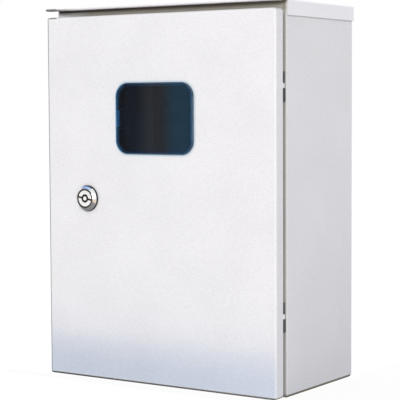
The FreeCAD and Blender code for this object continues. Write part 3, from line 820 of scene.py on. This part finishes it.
def hex_nut(flats, bore, height, base, axis):
    """Radius is the smaller of the hexagon and the two end cones; the bore closes the skin inside."""
    chamfer = 0.6 * MM
    corner = flats / math.sqrt(3)
    cone = CONE_SLOPE * (corner - flats / 2)
    profile = fill([(bore, chamfer), (bore + chamfer, 0), (flats / 2, 0), (corner, cone),
                    (corner, height - cone), (flats / 2, height),
                    (bore + chamfer, height), (bore, height - chamfer)], 0.5 * MM)
    turn, radii, heights = turned(profile, columns=72)
    nearest = np.mod(turn, math.pi / 3) - math.pi / 6
    hexagon = flats / 2 / np.cos(nearest)
    return round_axis(np.minimum(radii, hexagon), heights, turn, base, axis)


stud_low, stud_high = (np.array(corner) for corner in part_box("body_studs"))
plate_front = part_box("mounting_plate")[0][1]
plate_places = [(x, z) for x in (-stud_high[0] + STUD_RADIUS, stud_high[0] - STUD_RADIUS)
                for z in (body_high[2] - stud_high[2] + STUD_RADIUS, stud_high[2] - STUD_RADIUS)]
earth_place = (stud_low[0] + STUD_RADIUS, stud_low[1] + STUD_RADIUS, stud_low[2])
nut_size = NUT_FLATS, STUD_RADIUS + 0.1 * MM, NUT_HEIGHT
nuts = [hex_nut(*nut_size, (x, plate_front, z), OUTWARD) for x, z in plate_places]
nuts.append(hex_nut(*nut_size, earth_place, UPWARD))
skins("plate_and_earth_nuts", nuts, "zinc_plate", "root", ["body_nuts"])
clamp_low, clamp_high = (np.array(corner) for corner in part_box("lock_nut"))
clamp = hex_nut(clamp_high[2] - clamp_low[2], BARREL_RADIUS + 0.05 * MM, clamp_high[1] - clamp_low[1],
                (lock_axis[0], clamp_low[1], lock_axis[2]), INWARD)
skins("lock_clamp_nut", [clamp], "zinc_plate", "door", ["lock_nut"])

# %% [markdown]
# A stud is a plain bar with a thread cut into it, an eased tip, and a small weld collar at its foot.
# A bump could fake the thread, but its teeth show in outline against the plate, so they are cut
# into the radius. Both ends shrink to a point on the axis, so the rows needn't close.

# %% Studs
STUD_PITCH = 1.0 * MM
PLATE_STUD_LENGTH = 22.0 * MM
EARTH_STUD_LENGTH = 18.0 * MM


def threaded_stud(length, base, axis):
    """Bar from a collar at its foot to an eased tip, with the thread taken off its radius."""
    collar, foot, tip = 3.7 * MM, 0.6 * MM, 0.7 * MM
    profile = fill([(0, 0), (collar, 0), (collar, foot), (STUD_RADIUS, 1.6 * foot),
                    (STUD_RADIUS, length - tip), (STUD_RADIUS - tip, length),
                    (0, length)], STUD_PITCH / 5)
    turn, radii, heights = turned(profile, columns=32)
    threaded = (heights > 2 * foot) & (heights < length - 1e-6)
    cut = thread(heights, turn, STUD_PITCH, depth=0.5 * MM)
    radii = np.where(threaded, np.minimum(radii, STUD_RADIUS - cut), radii)
    return round_axis(radii, heights, turn, base, axis)


back_inside = stud_high[1]
studs = [threaded_stud(PLATE_STUD_LENGTH, (x, back_inside, z), OUTWARD) for x, z in plate_places]
studs.append(threaded_stud(EARTH_STUD_LENGTH, earth_place, UPWARD))
skins("threaded_studs", studs, "zinc_plate", "root", ["body_studs"], closed=False)

# %% [markdown]
# ## Door gasket
# The gasket is a foam strip, poured as a soft bead round the inside of the door. A bead has a flat
# foot and a crowned top. A curve with a round bevel has neither, so a section is carried along a
# rectangle with round corners instead, and at every point of that path it lies square to it.

# %% Door gasket
GASKET_WIDTH = 12.0 * MM
GASKET_CORNER = 10.0 * MM
BEAD_EDGE = 0.25


def rounded_rectangle(half_width, half_height, corner, centre, count):
    """Path round a rectangle: four quarter circles joined by straight runs, with outward directions."""
    angles = np.linspace(0, math.pi / 2, count)
    quarter = np.concatenate([angles + i * math.pi / 2 for i in range(4)])
    outward = np.stack([np.cos(quarter), np.sin(quarter)], axis=-1)
    signs = np.repeat(np.array([(1, 1), (-1, 1), (-1, -1), (1, -1)]), count, axis=0)
    middle = signs * np.array((half_width - corner, half_height - corner))
    return np.array(centre) + middle + corner * outward, outward


def gasket():
    """Section: a flat foot, and a top that falls off with the fourth power of the way to its edge."""
    low, high = (np.array(corner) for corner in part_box("door_gasket"))
    height = high[1] - low[1]
    half = (high - low) / 2 - GASKET_WIDTH / 2
    centre = ((low[0] + high[0]) / 2, (low[2] + high[2]) / 2)
    path, outward = rounded_rectangle(half[0], half[2], GASKET_CORNER, centre, count=10)
    share = np.linspace(-1, 1, 17)
    crown = height * (1 - share ** 4) * (1 - BEAD_EDGE) + height * BEAD_EDGE
    across = np.concatenate([share, share[-2:0:-1]]) * GASKET_WIDTH / 2
    rise = np.concatenate([crown, np.zeros(len(share) - 2)])
    flat = path[None] + across[:, None, None] * outward[None]
    level = np.broadcast_to((low[1] + rise)[:, None], flat.shape[:2])
    return np.stack([flat[..., 0], level, flat[..., 1]], axis=-1)


skins("foam_gasket", [gasket()], "seal_rubber", "door", ["door_gasket"], sharp=50)

# %% [markdown]
# ## Camera
# The camera stands to the right of the door and a little above the middle of the box. It could be
# aimed by eye, but its yaw, pitch, roll, distance and lens were found by fitting a pinhole camera to
# the edges of the box, so the render lines up with the photograph without any shift.

# %% Camera
CAMERA_YAW = math.radians(33.836)
CAMERA_PITCH = math.radians(3.817)
CAMERA_ROLL = math.radians(-0.285)
CAMERA_DISTANCE = 1.5714
CAMERA_TARGET = np.array((0.00365, door_front + 0.076, 0.19222))
CAMERA_LENS = 130.28
CAMERA_SENSOR = 36.0


def camera_axes():
    """Right, up and forward: forward from yaw and pitch, the other two turned about it by the roll."""
    forward = np.array((-math.sin(CAMERA_YAW) * math.cos(CAMERA_PITCH),
                        math.cos(CAMERA_YAW) * math.cos(CAMERA_PITCH), -math.sin(CAMERA_PITCH)))
    level = np.array((math.cos(CAMERA_YAW), math.sin(CAMERA_YAW), 0.0))
    upright = np.cross(level, forward)
    right = math.cos(CAMERA_ROLL) * level + math.sin(CAMERA_ROLL) * upright
    up = math.cos(CAMERA_ROLL) * upright - math.sin(CAMERA_ROLL) * level
    return right, up, forward


right, up, forward = camera_axes()
eye = CAMERA_TARGET - forward * CAMERA_DISTANCE
camera_matrix = np.eye(4)
camera_matrix[:3] = np.stack([right, up, -forward, eye], axis=1)
camera = bpy.data.objects.new("camera", bpy.data.cameras.new("camera"))
camera.data.lens = CAMERA_LENS
camera.data.sensor_width = CAMERA_SENSOR
camera.matrix_world = Matrix(camera_matrix.tolist())
bpy.context.scene.collection.objects.link(camera)
bpy.context.scene.camera = camera
print("camera at", [round(v, 3) for v in eye])

# %% [markdown]
# ## Floor, world and light
# A studio is made of flat faces: a floor, and cards that light or shade. Blender has a plane to add,
# but a face between four given corners needs no turning and scaling.

# %% Faces of the studio
def stage_material(name):
    """Material with an empty node tree, and a Wire to add nodes to it."""
    material = bpy.data.materials.new(name)
    material.use_nodes = True
    material.node_tree.nodes.clear()
    return material, Wire(material.node_tree)


def level_corners(x_limits, y_limits, height):
    """Corners of a level rectangle, in order round it."""
    (left, right), (near, far) = x_limits, y_limits
    return [(left, near, height), (right, near, height), (right, far, height), (left, far, height)]


def stage_plane(name, corners, material, hidden_from=()):
    """One face of the studio between four corners, hidden from the kinds of rays that are named."""
    mesh = bpy.data.meshes.new(name)
    mesh.from_pydata([tuple(corner) for corner in corners], [], [(0, 1, 2, 3)])
    mesh.materials.append(material)
    made = bpy.data.objects.new(name, mesh)
    bpy.context.scene.collection.objects.link(made)
    for ray in hidden_from:
        setattr(made, "visible_" + ray, False)


print("studio helpers ready")

# %% [markdown]
# The background is white to the camera and to mirrors, while the light that falls on the box is set
# apart from it. Light Path tells the two apart; more lamps would whiten the floor too, but they
# would also bleach the paint. The floor keeps a share of real diffuse shading, so the box still
# throws a soft shadow on it.

# %% Floor and world
FLOOR_GREY = (0.82, 0.82, 0.82, 1)
FLOOR_GLOW = 1.075
FLOOR_WHITE_SHARE = 0.88
FLOOR_LIMITS = (-6.0, 6.0)
WORLD_LIGHT = 0.628
WORLD_COLOUR = (0.955, 0.986, 1.065, 1)
WHITE = (1, 1, 1, 1)


def seen_rays(bench):
    """1 for rays from the camera, from mirrors and through glass; 0 for rays that carry soft light."""
    camera_ray, mirror_ray, glass_ray = (bench.node("LightPath", {}, {}, f"Is {kind} Ray")
                                         for kind in ("Camera", "Glossy", "Transmission"))
    return bench.maths("ADD", camera_ray + mirror_ray, glass_ray, clamp=True)


def pale_floor():
    """Matt grey for soft light, and mostly an even white for rays that are seen."""
    material, bench = stage_material("pale_floor")
    matt = bench.node("BsdfDiffuse", {}, {"Color": FLOOR_GREY})
    glow = bench.node("Emission", {}, {"Color": WHITE, "Strength": FLOOR_GLOW})
    ends = {0: seen_rays(bench) * FLOOR_WHITE_SHARE, 1: matt, 2: glow}
    bench.node("OutputMaterial", {}, {"Surface": bench.node("MixShader", {}, ends)})
    return material


def soft_room():
    """World that is white to rays that are seen, and gives a dimmer and cooler soft light."""
    world = bpy.data.worlds.new("soft_room")
    world.use_nodes = True
    world.node_tree.nodes.clear()
    bench = Wire(world.node_tree)
    soft = bench.node("Background", {}, {"Color": WORLD_COLOUR, "Strength": WORLD_LIGHT})
    plain = bench.node("Background", {}, {"Color": WHITE, "Strength": 1.0})
    ends = {0: seen_rays(bench), 1: soft, 2: plain}
    bench.node("OutputWorld", {}, {"Surface": bench.node("MixShader", {}, ends)})
    return world


stage_plane("floor", level_corners(FLOOR_LIMITS, FLOOR_LIMITS, 0), pale_floor())
bpy.context.scene.world = soft_room()
print("floor and world ready")

# %% [markdown]
# One large softbox stands far in front, above and to the right, and lights the door more than the
# side. Nearer, it would leave a bright spot; from far away the door is lit evenly. A small softbox
# over the roof brightens the hood.

# %% Lamps
LAMP_COLOUR = (1.02, 0.975, 0.915)


def softbox(name, place, target, size, power):
    """Square lamp at a place, turned so that its -Z axis points at the target."""
    lamp = bpy.data.objects.new(name, bpy.data.lights.new(name, "AREA"))
    lamp.data.shape = "SQUARE"
    lamp.data.size = size
    lamp.data.energy = power
    lamp.data.color = LAMP_COLOUR
    lamp.location = place
    gap = np.array(target) - np.array(place)
    tilt = math.acos(-gap[2] / np.linalg.norm(gap))
    lamp.rotation_euler = (tilt, 0, math.atan2(gap[1], gap[0]) - math.pi / 2)
    bpy.context.scene.collection.objects.link(lamp)


softbox("front_softbox", place=(1.9, -4.0, 1.1), target=(0.0, 0.0, 0.2), size=2.2, power=93.8)
softbox("roof_softbox", place=(0.05, 0.12, 1.4), target=(0.05, 0.1, 0.4), size=0.5, power=5.0)
print("lamps ready")

# %% [markdown]
# Cards shape the rest, as in a product studio. A blue card lies on the floor before the door and a
# blue flap stands at its front edge, and the door's foot takes their colour. A grey card lies
# beside the box, and the side darkens towards its foot. Tinting the paint itself would look wrong
# as soon as the door opens. The cards give soft light alone: neither camera nor mirror sees them.

# %% Soft cards
FOOT_BLUE = (0.49, 0.64, 0.83)
SIDE_GREY = (0.36, 0.385, 0.43)
CARD_HEIGHT = 0.4 * MM


def soft_card(name, colour, x_limits, start, end):
    """Matt card for soft light, from one line along X to another; both are given by Y and Z."""
    material, bench = stage_material(name)
    matt = bench.node("BsdfDiffuse", {}, {"Color": (*colour, 1)})
    bench.node("OutputMaterial", {}, {"Surface": matt})
    left, right = x_limits
    corners = [(left, *start), (right, *start), (right, *end), (left, *end)]
    stage_plane(name, corners, material, ("camera", "glossy", "shadow"))


before_door = (-0.20, 0.17)
beside_body = (body_high[0] + 2 * MM, body_high[0] + 0.3)
card_front = (door_front - 0.024, CARD_HEIGHT)
card_back = (door_front - 0.004, CARD_HEIGHT)
flap_top = (door_front - 0.024, 0.040)
soft_card("blue_door_card", FOOT_BLUE, before_door, card_front, card_back)
soft_card("blue_door_flap", FOOT_BLUE, before_door, card_front, flap_top)
soft_card("grey_side_card", SIDE_GREY, beside_body, (-0.06, CARD_HEIGHT), (0.25, CARD_HEIGHT))
print("soft cards ready")

# %% [markdown]
# Chrome looks like chrome only when it has something to mirror. An image of a room would do, but
# this file uses no images, so four cards are there for the lock alone: a blue one up to the left
# that fades to white at both ends, a navy one just below it, one on the ground that turns from grey
# to warm towards the right, and a grey one on the floor at the left. They glow by themselves, and
# only mirrors see them.

# %% Cards that the lock mirrors
def glow_card(name, corners, stops):
    """Card that glows with a colour ramp along X, hidden from everything but glossy rays."""
    corners = np.array(corners)
    material, bench = stage_material(name)
    across = bench.node("TexCoord", {}, {}, "Object").along("X")
    share = across.steps(corners[:, 0].min(), corners[:, 0].max())
    shade = bench.node("ValToRGB", {"stops": stops}, {0: share})
    glow = bench.node("Emission", {}, {"Color": shade, "Strength": 1.0})
    bench.node("OutputMaterial", {}, {"Surface": glow})
    stage_plane(name, corners, material, ("camera", "diffuse", "shadow", "transmission"))


sky = [(0.0, (0.84, 0.87, 0.93)), (0.16, (0.62, 0.68, 0.86)), (0.40, (0.36, 0.50, 0.87)),
       (0.72, (0.42, 0.64, 1.0)), (0.88, (0.62, 0.80, 1.0)), (1.0, (1, 1, 1))]
sky_depth = (door_front - 0.55, door_front + 0.10)
glow_card("blue_card", level_corners((-1.1, -0.02), sky_depth, 0.70), sky)

navy = [(0.0, (0.03, 0.05, 0.12)), (1.0, (0.05, 0.07, 0.14))]
navy_near, navy_far, navy_height = door_front - 0.30, door_front + 0.12, 0.69
navy_corners = [(0.0, navy_near, navy_height), (0.0, navy_far, navy_height),
                (-0.65, navy_far, navy_height), (-0.65, navy_far - 0.16, navy_height)]
glow_card("navy_card", navy_corners, navy)

ground = [(0.0, (0.23, 0.23, 0.23)), (0.33, (0.32, 0.32, 0.32)),
          (0.37, (0.95, 0.80, 0.62)), (1.0, (0.95, 0.85, 0.72))]
ground_depth = (door_front - 1.5, door_front - 0.01)
glow_card("ground_card", level_corners((-0.45, 1.2), ground_depth, 0.6 * MM), ground)

left_ground = [(0.0, (0.36, 0.35, 0.34)), (1.0, (0.24, 0.24, 0.24))]
left_depth = (door_front - 0.25, door_front + 0.23)
glow_card("left_ground_card", level_corners((-0.85, -0.16), left_depth, 0.5 * MM), left_ground)
print("lock cards ready")

# %% [markdown]
# The window mirrors a dark room. A whole room would take long to build, and the plate sees little of
# it, so one board with a slow change of colour stands where the sight lines that the plate mirrors
# arrive. The tinted plastic then looks deep and not empty.

# %% Board that the window mirrors
BOARD_DISTANCE = 0.55
BOARD_MARGIN = 0.025


def mirrored_corners():
    """Where sight lines that the window mirrors reach a plane in front of the door, widened a little."""
    plate = window_low[1]
    left, right = window_low[0] - BOARD_MARGIN, window_high[0] + BOARD_MARGIN
    foot, top = window_low[2] - BOARD_MARGIN, window_high[2] + BOARD_MARGIN
    corners = np.array([(left, plate, foot), (right, plate, foot),
                        (right, plate, top), (left, plate, top)])
    mirrored_eye = eye * (1, -1, 1) + np.array((0, 2 * plate, 0))
    sight = corners - mirrored_eye
    reach = (plate - BOARD_DISTANCE - mirrored_eye[1]) / sight[:, 1]
    return mirrored_eye + sight * reach[:, None]


board_corners = mirrored_corners()
room = [(0.0, (0.11, 0.08, 0.08)), (0.36, (0.13, 0.11, 0.13)), (0.46, (0.38, 0.34, 0.33)),
        (0.58, (0.36, 0.35, 0.36)), (0.68, (0.26, 0.60, 0.95)), (1.0, (0.26, 0.60, 0.95))]
glow_card("mirrored_board", board_corners, room)
print("board corners:", np.round(board_corners, 3).tolist())

# %% [markdown]
# The scene uses the Standard view transform, so colours come out as they were written.

# %% View transform
bpy.context.scene.view_settings.view_transform = "Standard"
bpy.context.view_layer.update()
